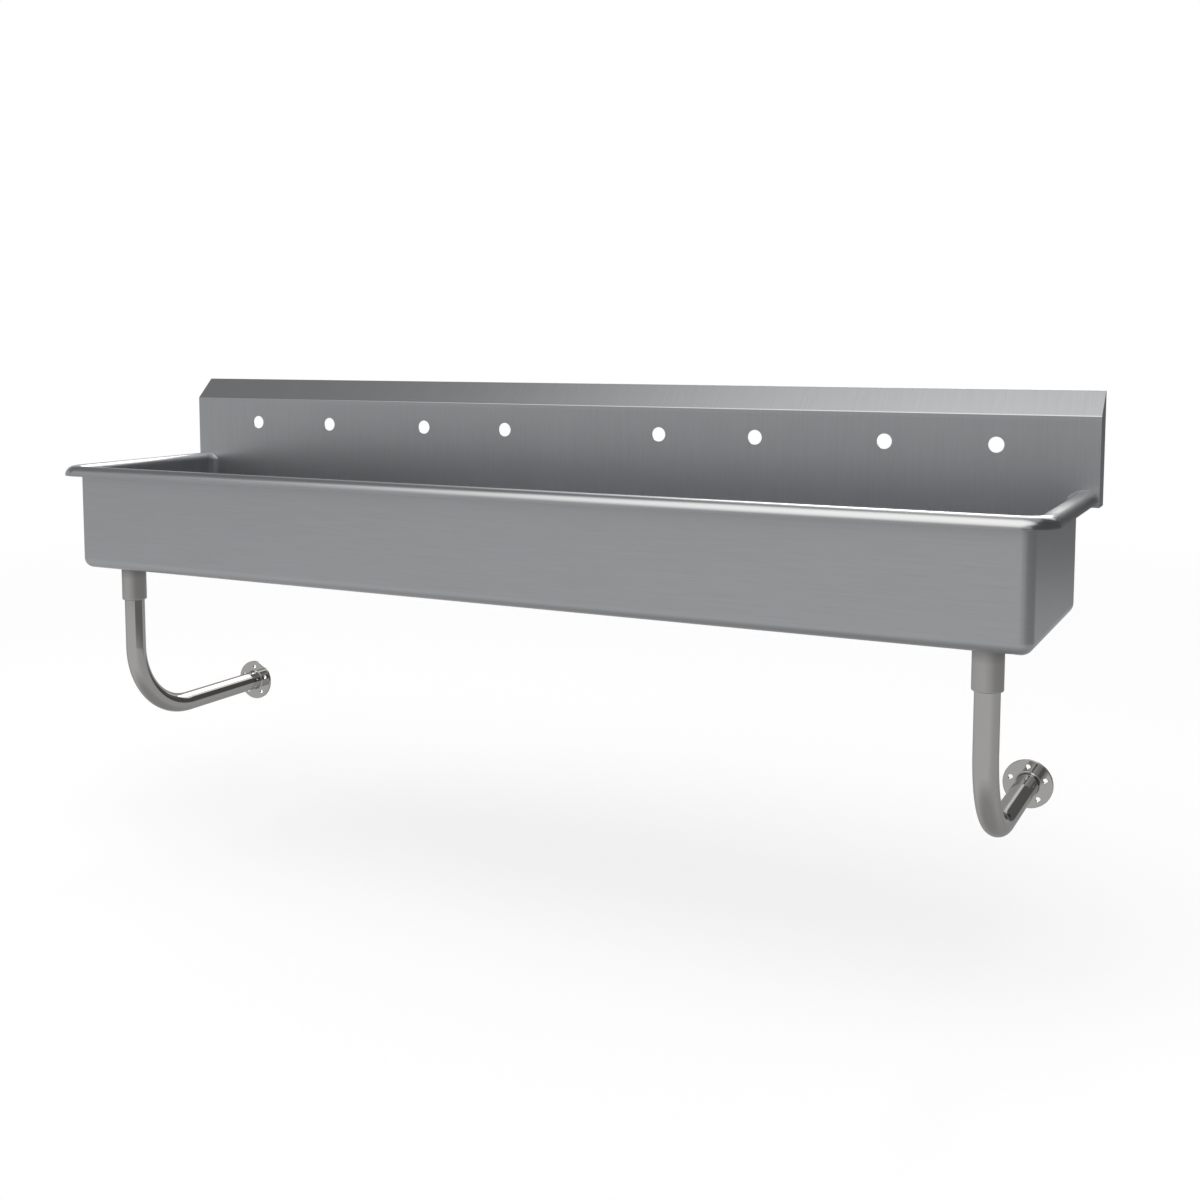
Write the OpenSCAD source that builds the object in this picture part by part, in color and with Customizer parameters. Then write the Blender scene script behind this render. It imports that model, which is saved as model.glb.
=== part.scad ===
// Wall-hung stainless trough sink with a splash back, four pairs of tap holes and two bent wall legs.
// Front is -Y, the wall is the plane y = 0, and z = 0 is the row of screws in the wall cleat.

/* [Sheet] */
// Thickness of the stainless sheet
sheet_t = 1.9; // [1.2:0.1:2.6]
// Inside radius of the folds in the splash
fold_r = 1; // [0.5:0.1:3]

/* [Bowl] */
// Outside length of the bowl
bowl_l = 1962; // [1700:1:2400]
// Outside width of the bowl, front to back
bowl_w = 417.3; // [360:0.1:480]
// Height of the bowl, from its underside to the top of the rim
bowl_h = 218; // [150:1:300]
// Inside radius of the bowl's upright corners and bottom coves
cove_r = 19; // [12:0.5:30]

/* [Rim] */
// Inside radius of the fold from the bowl wall to the rim
rim_fold_r = 13; // [4:0.5:16]
// Width of the flat between the rim's fold and its roll
rim_flat = 1; // [0.5:0.5:12]
// Outside radius of the roll at the rim's edge
roll_r = 20; // [12:0.5:24]

/* [Splash] */
// Height of the splash
splash_h = 203.2; // [190:0.1:260]
// Distance from the wall to the splash face
splash_d = 48; // [38:0.5:70]
// Height from the rim's top to the splash's top
splash_rise = 173.5; // [160:0.5:180]
// How far the splash runs past the rim at each end
splash_reveal = 1; // [0:0.5:8]
// Height of the lip that hangs on the wall cleat
lip_h = 25; // [20:0.5:28]

/* [Tap holes] */
// Radius of a tap hole
tap_hole_r = 14.3; // [10:0.1:18]
// Distance between the two holes of one tap
tap_spread = 203.2; // [150:0.1:210]
// Distance from the middle of the sink to the nearer tap
tap_first = 279.4; // [140:0.1:300]
// Distance from the nearer tap to the outer tap
tap_pitch = 457.2; // [260:0.1:470]
// Distance from the splash's top to the tap holes
tap_drop = 98.2; // [75:0.1:125]

/* [Wall cleat] */
// Length of the cleat
cleat_l = 1524; // [1300:1:1600]
// Thickness of the cleat
cleat_t = 3; // [2:0.1:4]
// Height of the cleat's foot, which is screwed to the wall
cleat_foot_h = 32; // [24:0.5:40]
// How far the lip goes down behind the cleat's leg
cleat_hook_h = 15; // [10:0.5:18]
// Free space in front of the lip in the cleat
cleat_gap = 1; // [0.5:0.1:2]
// Distance between screw holes, one wall stud apart
cleat_pitch = 406.4; // [300:0.1:410]
// Radius of a screw hole
cleat_hole_r = 3.5; // [2.5:0.1:5]

/* [Legs] */
// Distance from the bowl's end to the middle of the leg
leg_inset = 79.1; // [65:0.1:120]
// Distance from the bowl's front to the middle of the leg
leg_setback = 73.5; // [62:0.1:110]
// Outside radius of the leg tube
leg_r = 20.65; // [16:0.05:22]
// Wall thickness of the leg tube
leg_wall = 1.65; // [1:0.05:3]
// Height from the flange's centre to the bowl's underside
leg_drop = 331; // [300:1:400]
// Radius of the bend, to the middle of the tube
leg_bend_r = 155; // [110:1:170]
// Free space above the tube in its socket
leg_top_gap = 6; // [5.5:0.1:12]

/* [Leg sockets] */
// Length of the socket below its pad
socket_l = 70; // [55:1:90]
// Wall thickness of the socket
socket_wall = 4.65; // [3:0.05:6]
// Radial clearance between the tube and its socket
socket_fit = 0.1; // [0.05:0.01:0.2]
// Radius at the lower edge of the socket
socket_edge_r = 2.5; // [1:0.1:2.8]
// Side of the square pad above the socket
pad_w = 76; // [64:1:90]
// Thickness of the pad
pad_t = 3; // [2:0.1:5]
// Radius at the pad's corners
pad_corner_r = 8; // [3:0.5:14]
// Radius of the set screw
screw_r = 3; // [2:0.1:4]
// Length of the set screw
screw_l = 6; // [5:0.1:8]
// Height of the set screw above the socket's lower edge
screw_rise = 30; // [20:0.5:40]
// Across the flats of the set screw's key
key_w = 3; // [1.5:0.1:3.4]
// Depth of the key's recess
key_depth = 2.5; // [1:0.1:3]

/* [Wall flanges] */
// Radius of the flange
flange_r = 45.2; // [42:0.1:55]
// Thickness of the flange
flange_t = 5; // [3:0.1:8]
// Pitch circle of the flange's holes
flange_pcd = 65; // [62:0.1:70]
// Number of holes in the flange
flange_holes = 5; // [3:1:6]
// Radius of a flange hole
flange_hole_r = 4.4; // [3:0.1:5]
// Rounding of the flange's front edge
flange_edge_r = 1; // [0.3:0.1:2]
// Leg of the weld fillet between the tube and the flange
weld_w = 4; // [2:0.5:6]
// Length of the spigot inside the tube
spigot_l = 20; // [10:1:40]

/* [Drain] */
// Radius of the drain's top flange
drain_flange_r = 40; // [36:0.5:48]
// Height of the drain's top flange above the bowl's floor
drain_flange_h = 2.6; // [2.2:0.1:4]
// Radius of the dished part of the drain's flange
dish_r = 33; // [28:0.5:35]
// Thickness of metal under the dish
dish_floor = 0.8; // [0.5:0.1:1.2]
// Radius of the threaded shank that goes through the bowl
shank_r = 25.2; // [24.6:0.1:27]
// Length of the shank below the bowl's floor
shank_l = 20; // [18:0.5:26]
// Radius of the threaded tail that takes the trap's nut
tail_r = 24.13; // [23:0.01:24.5]
// Length of the tail below the stopper's seat
tail_reach = 2; // [1:0.5:25]
// Radius of the waterway
waterway_r = 20.5; // [19:0.1:21]
// Clearance between the shank and the hole in the bowl
shank_clear = 1; // [0.3:0.1:2]
// Radius of the gasket
gasket_r = 37; // [33:0.5:44]
// Thickness of the gasket
gasket_t = 3; // [2:0.1:4]
// Thickness of the friction washer
washer_t = 1.2; // [0.8:0.1:2]
// Radius across the corners of the locknut
locknut_r = 35; // [32:0.5:40]
// Height of the locknut
locknut_h = 9; // [6:0.5:11]
// Depth of the stopper's seat below the bowl's floor
seat_depth = 30.8; // [30:0.1:34]
// Thickness of the seat
seat_t = 2.2; // [1.5:0.1:3]
// Radius of the opening in the seat
seat_r = 14; // [10:0.5:15]
// Width of each bar of the cross in the outlet
cross_w = 3; // [2:0.1:4]

/* [Strainer] */
// Radial clearance between the basket and the waterway
basket_clear = 1; // [0.4:0.1:1.6]
// Wall thickness of the basket
basket_t = 1; // [0.6:0.1:1.4]
// Depth of the basket below the bowl's floor
basket_depth = 20; // [16:0.5:21]
// Radius of the basket's rim
basket_rim_r = 25; // [23:0.5:27]
// Radius of a hole in the basket
basket_hole_r = 1.4; // [0.8:0.1:1.7]
// Radius of the outer ring of holes in the basket's floor
basket_outer_ring = 14; // [12.5:0.1:15.5]
// Radius of the inner ring of holes in the basket's floor
basket_inner_ring = 8; // [6:0.1:9]
// Number of holes in the outer ring and in each row of the basket's side
basket_holes = 10; // [6:1:14]
// Radius of the stopper's post
post_r = 2.5; // [2:0.1:3.5]
// Clearance round the post
post_fit = 0.08; // [0.04:0.01:0.1]
// Height of the knob's top above the bowl's floor
knob_top = 19; // [16:0.5:28]
// Radius of the knob
knob_r = 7; // [5:0.5:9]
// Height of the knob
knob_h = 6; // [4:0.5:9]
// Radius of the rubber stopper
stopper_r = 17.5; // [16.5:0.1:18]
// Thickness of the rubber stopper
stopper_t = 4; // [3:0.1:4.2]

/* [Hidden] */
$fn = 72;

seat_gap = 0.3;      // rest gap between pieces that lift off one another
thread_gap = 0.05;   // radial gap in a closed thread
past = 1;            // how far a cut runs past the metal
fold_steps = 6;      // flats in each splash fold

cove_out = cove_r + sheet_t;
bowl_x = bowl_l / 2;
corner_x = bowl_x - cove_out;
bowl_back = -(splash_d - sheet_t);
bowl_front = bowl_back - bowl_w;
back_corner_y = bowl_back - cove_out;
front_corner_y = bowl_front + cove_out;
rim_w = rim_fold_r + rim_flat + roll_r;
rim_front = bowl_front - rim_w;
splash_x = bowl_x + rim_w + splash_reveal;

cleat_web_z = cleat_foot_h / 2 + cleat_t;
lip_z = cleat_web_z + seat_gap;
top_z = lip_z + lip_h;
rim_z = top_z - splash_rise;
wall_top_z = rim_z - sheet_t - rim_fold_r;
under_z = rim_z - bowl_h;
floor_z = under_z + sheet_t;
splash_bottom_z = top_z - splash_h;
tap_z = top_z - tap_drop;
fold_out = fold_r + sheet_t;
slope_normal = [cos(135), sin(135)];
lip_c = [-fold_out, top_z - fold_out];
face_c = [-splash_d + fold_out, lip_c[1] - (splash_d - 2 * fold_out)];
taps = [-tap_first - tap_pitch, -tap_first, tap_first, tap_first + tap_pitch];

leg_x = bowl_x - leg_inset;
leg_y = bowl_front + leg_setback;
flange_z = under_z - leg_drop;
socket_top_z = under_z - pad_t;
socket_bottom_z = socket_top_z - socket_l;
socket_bore_r = leg_r + socket_fit;
socket_r = socket_bore_r + socket_wall;
screw_z = socket_bottom_z + screw_rise;

drain_y = (bowl_front + bowl_back) / 2;
bowl_hole_r = shank_r + shank_clear;
dish_z = floor_z + dish_floor;
gasket_z = under_z - gasket_t;
washer_z = gasket_z - washer_t;
locknut_z = washer_z - locknut_h;
seat_z = floor_z - seat_depth;
tail_z = seat_z - seat_t - tail_reach;
basket_r = waterway_r - basket_clear;
basket_rim_z = dish_z + seat_gap;
basket_floor_z = floor_z - basket_depth;
stopper_z = basket_floor_z - seat_gap - stopper_t;
knob_z = floor_z + knob_top - knob_h;

steel = [0.70, 0.70, 0.71];
polished = [0.78, 0.78, 0.79];
black = [0.09, 0.09, 0.09];

// Points on a round stretch of an outline, by its centre, radius and first and last angles
function arc(centre, radius, first, last, steps) = [
  for (i = [0:steps])
    let (a = first + (last - first) * i / steps)
      centre + radius * [cos(a), sin(a)]
];

// Extrudes an outline drawn in Y and Z from x = first to x = last
module along_x(first, last) {
  translate([first, 0, 0])
    rotate([90, 0, 90])
      linear_extrude(last - first)
        children();
}

// Puts a piece made for the right-hand end at the right (1) or the left (-1)
module at_end(side) {
  if (side > 0) {
    children();
  } else {
    mirror([1, 0, 0])
      children();
  }
}

// A square with round corners, flat on its centre
module round_square(width, corner) {
  square([width, width - 2 * corner], center = true);
  square([width - 2 * corner, width], center = true);
  for (x = [-1, 1])
    for (y = [-1, 1])
      translate([x, y] * (width / 2 - corner))
        circle(corner);
}

// A box outline from the floor up, with round lower corners
module cove_box(first, last, low, high, corner) {
  translate([first + corner, low])
    square([last - first - 2 * corner, high - low]);
  translate([first, low + corner])
    square([last - first, high - low - corner]);
  for (x = [first + corner, last - corner])
    translate([x, low + corner])
      circle(corner);
}

// The sheet of a bowl wall and its cove, seen in section from the corner's centre outwards
module wall_section() {
  difference() {
    translate([0, under_z + cove_out])
      circle(cove_out);
    translate([0, under_z + cove_out])
      circle(cove_r);
    translate([-2 * cove_out, under_z - past])
      square([2 * cove_out, 3 * cove_out]);
    translate([-cove_out, under_z + cove_out])
      square([3 * cove_out, 2 * cove_out]);
  }
  translate([cove_r, under_z + cove_out])
    square([sheet_t, wall_top_z - under_z - cove_out]);
}

// A quarter ring of sheet, one side of its centre in x and above it in y
module quarter_sheet(outer_r, side) {
  intersection() {
    difference() {
      circle(outer_r);
      circle(outer_r - sheet_t);
    }
    translate([side > 0 ? 0 : -outer_r, 0])
      square(outer_r);
  }
}

// The fold from the bowl wall out to the rim, in section from the corner's centre
module rim_fold_section() {
  translate([cove_out + rim_fold_r, wall_top_z])
    quarter_sheet(rim_fold_r + sheet_t, -1);
}

// The flat and the roll of the rim, in section from the corner's centre
module rim_roll_section() {
  translate([cove_out + rim_fold_r, rim_z - sheet_t])
    square([rim_flat, sheet_t]);
  translate([cove_out + rim_fold_r + rim_flat, rim_z - roll_r])
    quarter_sheet(roll_r, 1);
}

// The splash sheet in section: face, 45 degree top and the lip against the wall
module splash_section() {
  polygon(concat(
    [[-splash_d, splash_bottom_z]],
    arc(face_c, fold_out, 180, 135, fold_steps),
    arc(lip_c, fold_out, 135, 0, 2 * fold_steps),
    [[0, lip_z], [-sheet_t, lip_z]],
    arc(lip_c, fold_r, 0, 135, 2 * fold_steps),
    arc(face_c, fold_r, 135, 180, fold_steps),
    [[-splash_d + sheet_t, splash_bottom_z]]
  ));
}

// The outside shape of the bowl in plan, which the splash sheet is cut round
module bowl_plan() {
  square_y = back_corner_y - past;
  translate([-corner_x, square_y])
    square([2 * corner_x, bowl_back - square_y]);
  translate([-bowl_x, square_y])
    square([2 * bowl_x, past]);
  for (x = [-corner_x, corner_x])
    translate([x, back_corner_y])
      circle(cove_out);
}

module wall_cleat() {
  leg_back = sheet_t + cleat_gap;
  color(steel)
    difference() {
      along_x(-cleat_l / 2, cleat_l / 2)
        polygon([
          [0, -cleat_foot_h / 2], [0, cleat_web_z], [-leg_back, cleat_web_z],
          [-leg_back, cleat_web_z + cleat_hook_h], [-leg_back - cleat_t, cleat_web_z + cleat_hook_h],
          [-leg_back - cleat_t, cleat_web_z - cleat_t], [-cleat_t, cleat_web_z - cleat_t],
          [-cleat_t, -cleat_foot_h / 2]
        ]);
      for (i = [-1.5:1:1.5])
        translate([i * cleat_pitch, past, 0])
          rotate([90, 0, 0])
            cylinder(h = cleat_t + 2 * past, r = cleat_hole_r);
    }
}

module bowl_trough() {
  color(steel)
    difference() {
      along_x(-corner_x, corner_x)
        difference() {
          cove_box(bowl_front, bowl_back, under_z, wall_top_z, cove_out);
          cove_box(bowl_front + sheet_t, bowl_back - sheet_t, floor_z, wall_top_z + past, cove_r);
        }
      translate([0, drain_y, under_z - past])
        cylinder(h = sheet_t + 2 * past, r = bowl_hole_r);
    }
}

module bowl_end(side) {
  color(steel)
    at_end(side)
      union() {
        translate([corner_x, back_corner_y, 0])
          rotate_extrude(angle = 90)
            wall_section();
        translate([corner_x, front_corner_y, 0])
          rotate([0, 0, -90])
            rotate_extrude(angle = 90)
              wall_section();
        translate([corner_x, back_corner_y, 0])
          rotate([90, 0, 0])
            linear_extrude(back_corner_y - front_corner_y)
              wall_section();
      }
}

module rolled_rim() {
  run_l = -splash_d - front_corner_y;
  corner_fill = rim_fold_r + cove_out;
  color(steel)
    union() {
      translate([-corner_x, front_corner_y, 0])
        rotate([90, 0, 90])
          mirror([1, 0, 0])
            linear_extrude(2 * corner_x)
              union() {
                rim_fold_section();
                rim_roll_section();
              }
      for (side = [-1, 1])
        at_end(side) {
          translate([corner_x, front_corner_y, 0])
            rotate([0, 0, -90])
              rotate_extrude(angle = 90)
                union() {
                  rim_fold_section();
                  rim_roll_section();
                }
          translate([corner_x, -splash_d, 0])
            rotate([90, 0, 0])
              linear_extrude(run_l)
                rim_roll_section();
          translate([corner_x, back_corner_y, 0])
            rotate([90, 0, 0])
              linear_extrude(back_corner_y - front_corner_y)
                rim_fold_section();
          intersection() {
            translate([corner_x, back_corner_y, 0])
              rotate_extrude(angle = 90)
                rim_fold_section();
            translate([0, -splash_d - 2 * cove_out, wall_top_z - past])
              cube([bowl_l, 2 * cove_out, rim_fold_r + sheet_t + 2 * past]);
          }
          translate([corner_x, back_corner_y, rim_z - sheet_t])
            linear_extrude(sheet_t)
              difference() {
                square([corner_fill, -splash_d - back_corner_y]);
                circle(corner_fill);
              }
        }
    }
}

module splash_panel() {
  color(steel)
    difference() {
      along_x(-splash_x, splash_x)
        splash_section();
      translate([0, 0, splash_bottom_z - past])
        linear_extrude(wall_top_z - splash_bottom_z + past)
          bowl_plan();
      for (x = taps)
        for (half = [-0.5, 0.5])
          translate([x + half * tap_spread, past - splash_d + sheet_t, tap_z])
            rotate([90, 0, 0])
              cylinder(h = sheet_t + 2 * past, r = tap_hole_r);
    }
}

module splash_end(side) {
  color(steel)
    at_end(side)
      along_x(splash_x - sheet_t, splash_x)
        polygon([
          [-splash_d + sheet_t, splash_bottom_z], face_c + [-fold_r, 0], face_c + slope_normal * fold_r,
          lip_c + slope_normal * fold_r, lip_c + [fold_r, 0], [-sheet_t, lip_z], [0, lip_z],
          [0, splash_bottom_z]
        ]);
}

module leg_pad(side) {
  color(steel)
    translate([side * leg_x, leg_y, socket_top_z])
      linear_extrude(pad_t)
        round_square(pad_w, pad_corner_r);
}

module leg_socket(side) {
  color(polished)
    translate([side * leg_x, leg_y, socket_bottom_z])
      difference() {
        rotate_extrude()
          difference() {
            union() {
              translate([socket_bore_r, socket_edge_r])
                square([socket_wall, socket_l - socket_edge_r]);
              translate([socket_bore_r, 0])
                square([socket_wall - socket_edge_r, socket_l]);
              translate([socket_r - socket_edge_r, socket_edge_r])
                circle(socket_edge_r);
            }
            translate([0, -past])
              square([socket_bore_r, socket_l + 2 * past]);
          }
        translate([0, socket_r + past, screw_rise])
          rotate([90, 0, 0])
            cylinder(h = socket_wall + 2 * past, r = screw_r + thread_gap);
      }
}

module socket_screw(side) {
  tip = leg_r + seat_gap;
  color(black)
    translate([side * leg_x, leg_y + tip, screw_z])
      rotate([-90, 0, 0])
        difference() {
          cylinder(h = screw_l, r = screw_r);
          translate([0, 0, screw_l - key_depth])
            cylinder(h = key_depth + past, r = key_w / 2 / cos(30), $fn = 6);
        }
}

module leg_tube(side) {
  tube_top = socket_top_z - leg_top_gap;
  bend_z = flange_z + leg_bend_r;
  bend_y = leg_y + leg_bend_r;
  color(polished)
    translate([side * leg_x, 0, 0])
      union() {
        translate([0, leg_y, bend_z])
          linear_extrude(tube_top - bend_z)
            tube_ring();
        translate([0, bend_y, bend_z])
          rotate([0, 90, 0])
            rotate([0, 0, -90])
              rotate_extrude(angle = 90)
                translate([leg_bend_r, 0])
                  tube_ring();
        translate([0, -flange_t, flange_z])
          rotate([90, 0, 0])
            linear_extrude(-flange_t - bend_y)
              tube_ring();
      }
}

// The leg tube in section
module tube_ring() {
  difference() {
    circle(leg_r);
    circle(leg_r - leg_wall);
  }
}

module wall_flange(side) {
  spigot_r = leg_r - leg_wall - thread_gap;
  color(polished)
    translate([side * leg_x, 0, flange_z])
      rotate([90, 0, 0])
        difference() {
          rotate_extrude()
            union() {
              square([flange_r, flange_t - flange_edge_r]);
              square([flange_r - flange_edge_r, flange_t]);
              translate([flange_r - flange_edge_r, flange_t - flange_edge_r])
                circle(flange_edge_r);
              square([spigot_r, flange_t + spigot_l]);
              difference() {
                translate([leg_r, 0])
                  square([weld_w, flange_t + weld_w]);
                translate([leg_r + weld_w, flange_t + weld_w])
                  circle(weld_w);
              }
            }
          for (i = [0:flange_holes - 1])
            rotate([0, 0, 90 + 360 * i / flange_holes])
              translate([flange_pcd / 2, 0, -past])
                cylinder(h = flange_t + 2 * past, r = flange_hole_r);
        }
}

module drain_body() {
  flange_z0 = floor_z + drain_flange_h;
  color(polished)
    translate([0, drain_y, 0])
      union() {
        rotate_extrude()
          polygon([
            [waterway_r, tail_z], [tail_r, tail_z], [tail_r, floor_z - shank_l],
            [shank_r, floor_z - shank_l], [shank_r, floor_z], [drain_flange_r, floor_z],
            [dish_r + (drain_flange_r - dish_r) / 2, flange_z0], [dish_r, flange_z0],
            [basket_rim_r + past, dish_z], [waterway_r, dish_z]
          ]);
        translate([0, 0, seat_z - seat_t])
          linear_extrude(seat_t)
            union() {
              difference() {
                circle(waterway_r);
                circle(seat_r);
              }
              square([2 * waterway_r - past, cross_w], center = true);
              square([cross_w, 2 * waterway_r - past], center = true);
            }
      }
}

// A flat ring round the drain's shank
module drain_ring(low, height, outer_r) {
  translate([0, drain_y, low])
    difference() {
      cylinder(h = height, r = outer_r);
      translate([0, 0, -past])
        cylinder(h = height + 2 * past, r = shank_r + thread_gap);
    }
}

module drain_gasket() {
  color(black)
    drain_ring(gasket_z, gasket_t, gasket_r);
}

module drain_washer() {
  color(steel)
    drain_ring(washer_z, washer_t, gasket_r);
}

module drain_locknut() {
  color(polished)
    translate([0, drain_y, locknut_z])
      difference() {
        cylinder(h = locknut_h, r = locknut_r, $fn = 6);
        translate([0, 0, -past])
          cylinder(h = locknut_h + 2 * past, r = shank_r + thread_gap);
      }
}

module strainer_basket() {
  color(polished)
    translate([0, drain_y, 0])
      difference() {
        rotate_extrude()
          polygon([
            [post_r + post_fit, basket_floor_z], [basket_r, basket_floor_z], [basket_r, basket_rim_z],
            [basket_rim_r, basket_rim_z], [basket_rim_r, basket_rim_z + basket_t],
            [basket_r - basket_t, basket_rim_z + basket_t], [basket_r - basket_t, basket_floor_z + basket_t],
            [post_r + post_fit, basket_floor_z + basket_t]
          ]);
        for (ring = [[basket_outer_ring, basket_holes], [basket_inner_ring, floor(basket_holes / 2)]])
          for (i = [1:ring[1]])
            rotate([0, 0, 360 * i / ring[1]])
              translate([ring[0], 0, basket_floor_z - past])
                cylinder(h = basket_t + 2 * past, r = basket_hole_r);
        for (height = [0.4, 0.7])
          for (i = [1:basket_holes])
            translate([0, 0, basket_floor_z + basket_depth * height])
              rotate([0, 90, 360 * i / basket_holes])
                translate([0, 0, post_r + past])
                  cylinder(h = basket_r - post_r, r = basket_hole_r);
      }
}

module strainer_post() {
  color(polished)
    translate([0, drain_y, stopper_z + stopper_t])
      cylinder(h = knob_z - stopper_z - stopper_t, r = post_r);
}

module strainer_knob() {
  color(polished)
    translate([0, drain_y, knob_z])
      rotate_extrude()
        difference() {
          union() {
            square([knob_r - knob_h / 4, knob_h]);
            translate([0, knob_h / 2])
              square([knob_r, knob_h / 4]);
            translate([knob_r - knob_h / 4, knob_h * 3 / 4])
              circle(knob_h / 4);
            translate([0, knob_h / 4])
              square([knob_r, knob_h / 4]);
          }
          translate([knob_r, 0])
            circle(knob_h / 4);
        }
}

module strainer_stopper() {
  color(black)
    translate([0, drain_y, stopper_z])
      cylinder(h = stopper_t, r = stopper_r);
}

wall_cleat();
bowl_trough();
bowl_end(-1);  // bowl_end_left
bowl_end(1);  // bowl_end_right
rolled_rim();
splash_panel();
splash_end(-1);  // splash_end_left
splash_end(1);  // splash_end_right
leg_pad(-1);  // leg_pad_left
leg_pad(1);  // leg_pad_right
leg_socket(-1);  // leg_socket_left
leg_socket(1);  // leg_socket_right
socket_screw(-1);  // socket_screw_left
socket_screw(1);  // socket_screw_right
leg_tube(-1);  // leg_tube_left
leg_tube(1);  // leg_tube_right
wall_flange(-1);  // wall_flange_left
wall_flange(1);  // wall_flange_right
drain_body();
drain_gasket();
drain_washer();
drain_locknut();
strainer_basket();
strainer_post();
strainer_knob();
strainer_stopper();
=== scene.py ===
import math

import bpy
from mathutils import Matrix, Vector
from mathutils.geometry import tessellate_polygon


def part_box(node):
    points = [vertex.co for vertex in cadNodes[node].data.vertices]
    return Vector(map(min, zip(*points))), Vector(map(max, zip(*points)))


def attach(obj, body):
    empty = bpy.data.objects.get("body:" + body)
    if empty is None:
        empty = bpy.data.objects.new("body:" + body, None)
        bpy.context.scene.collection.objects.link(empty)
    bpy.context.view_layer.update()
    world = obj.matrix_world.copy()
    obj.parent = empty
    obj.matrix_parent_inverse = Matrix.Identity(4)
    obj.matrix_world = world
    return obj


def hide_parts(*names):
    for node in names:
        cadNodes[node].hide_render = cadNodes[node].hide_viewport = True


# Long stainless trough sink on two wall legs. Metres throughout; the front is -Y, the wall is y = 0.
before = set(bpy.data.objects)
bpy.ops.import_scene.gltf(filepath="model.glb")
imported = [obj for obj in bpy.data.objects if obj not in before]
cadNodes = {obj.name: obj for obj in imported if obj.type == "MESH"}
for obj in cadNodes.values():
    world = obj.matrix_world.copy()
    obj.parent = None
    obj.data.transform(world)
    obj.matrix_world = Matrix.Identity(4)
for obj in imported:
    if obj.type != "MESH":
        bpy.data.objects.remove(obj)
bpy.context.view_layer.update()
right, front, up = Vector((1, 0, 0)), Vector((0, -1, 0)), Vector((0, 0, 1))
brushMap = "brush"  # UV map in metres, u runs along the brushing


# materials

def feed(tree, node, inputs):
    # sets or links a node's inputs by name or number
    for key, value in inputs.items():
        if isinstance(value, bpy.types.NodeSocket):
            tree.links.new(value, node.inputs[key])
        else:
            node.inputs[key].default_value = value


def put(tree, kind, inputs=None, **settings):
    node = tree.nodes.new(kind)
    for key, value in settings.items():
        setattr(node, key, value)
    feed(tree, node, inputs or {})
    return node


def newMaterial(name):
    made = bpy.data.materials.new(name)
    made.use_nodes = True
    tree = made.node_tree
    place = put(tree, "ShaderNodeTexCoord").outputs["Object"]
    return made, tree, tree.nodes["Principled BSDF"], place


def worked(tree, operation, *values):
    # a sum on numbers and sockets, such as ADD
    return put(tree, "ShaderNodeMath", dict(enumerate(values)), operation=operation).outputs[0]


def ranged(tree, value, low, high, fromLow=0.25, fromHigh=0.75):
    return put(tree, "ShaderNodeMapRange", {
        "Value": value, "From Min": fromLow, "From Max": fromHigh, "To Min": low, "To Max": high}).outputs[0]


def eased(tree, value, none, full):
    # from 0 at none to 1 at full
    return put(tree, "ShaderNodeMapRange", {"Value": value, "From Min": none, "From Max": full},
               interpolation_type="SMOOTHSTEP").outputs[0]


def grain(tree, source, scale, detail=2.0, rough=0.5):
    # noise stretched by a different scale on each axis
    stretched = put(tree, "ShaderNodeMapping", {"Vector": source, "Scale": scale}).outputs[0]
    return put(tree, "ShaderNodeTexNoise", {
        "Vector": stretched, "Scale": 1.0, "Detail": detail, "Roughness": rough}).outputs["Fac"]


def tinted(tree, colour, factor):
    # a colour made lighter and darker by a factor round 1
    return put(tree, "ShaderNodeVectorMath", {0: colour, 1: factor}, operation="MULTIPLY").outputs[0]


def bumped(tree, strength, depth, height):
    return put(tree, "ShaderNodeBump", {
        "Strength": strength, "Distance": depth, "Height": height}).outputs[0]


brushed = {
    "colour": (0.593, 0.604, 0.625),
    "streak": (7.0, 210.0, 1.0),     # streaks per metre along and across the brushing
    "hair": (22.0, 1500.0, 1.0),
    "cloud": (2.2, 9.0, 1.0),
    "tone": (0.030, 0.025, 0.012),   # how much streaks, hairs and clouds change the colour
    "groove": 0.00012,
    # a zone's roughness changes along an axis: from, to and how much more
    "sheet": {"roughness": (0.27, 0.36), "anisotropy": 0.45, "bump": 0.10,
              "zones": [("Y", -0.066, -0.050, 0.07)]},
    "splash": {"roughness": (0.375, 0.395), "anisotropy": 0.45, "bump": 0.03,  # smoothest at its fold
               "zones": [("Z", -0.007, -0.005, -0.18), ("Z", -0.0035, -0.0015, -0.09),
                         ("Z", 0.001, 0.003, 0.09)]},
    "rim": {"roughness": (0.20, 0.25), "anisotropy": 0.15, "bump": 0.03,  # its welds are ground dull
            "zones": [("Y", -0.478, -0.36, 0.10), ("Y", -0.075, -0.058, 0.25)]},
}


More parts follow.
